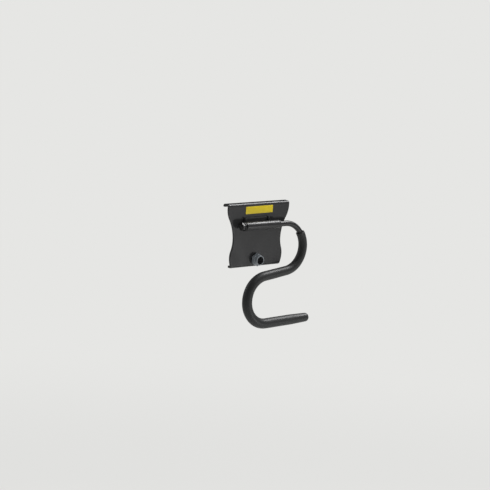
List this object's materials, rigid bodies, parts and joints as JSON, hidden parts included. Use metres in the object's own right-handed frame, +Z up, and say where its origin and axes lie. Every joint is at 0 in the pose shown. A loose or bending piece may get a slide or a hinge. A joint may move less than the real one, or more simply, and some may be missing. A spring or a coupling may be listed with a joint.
{
  "type": "garage utility hook",
  "caption": "Bent steel plate that clips over a wall slat, with a swinging S-shaped hook in a soft black sleeve, a pivot tube, a bare label and a turning lock knob.",
  "frame": {"origin": "centre of the plate's back face, on its centre line and at half its height", "axes": "+X to the right seen from the front, +Y into the wall, +Z up; the front faces -Y"},
  "size_m": [0.1504, 0.0336, 0.1802],
  "materials": {
    "powder_coat": "semi-gloss dark grey powder coat",
    "label": "plain yellow printed film, slightly glossy",
    "black_steel": "black coated steel",
    "sleeve": "matte black soft PVC",
    "zinc": "zinc-plated steel, dulled",
    "nylon": "blue-grey moulded nylon, satin",
    "nylon_black": "black moulded nylon"
  },
  "bodies": {
    "bracket": {"back_plate": "powder_coat", "label_plate": "label", "pivot_tube": "powder_coat", "tube_cradle": "powder_coat"},
    "hook": {"hook_rod": "black_steel", "grip_sleeve": "sleeve", "retaining_washer": "black_steel", "retaining_nut": "black_steel"},
    "lock": {"lock_knob": "nylon", "lock_tongue": "nylon_black", "lock_washer": "zinc", "lock_screw": "zinc"}
  },
  "joints": [
    {"name": "hook_swing", "type": "hinge", "parent": "bracket", "child": "hook", "pos_m": [0, -0.0115, 0.01505], "axis": [-1, 0, 0], "range_deg": [0, 178]},
    {"name": "lock_turn", "type": "hinge", "parent": "bracket", "child": "lock", "pos_m": [0, -0.0033, -0.03575], "axis": [0, -1, 0], "range_deg": [0, 90]}
  ]
}
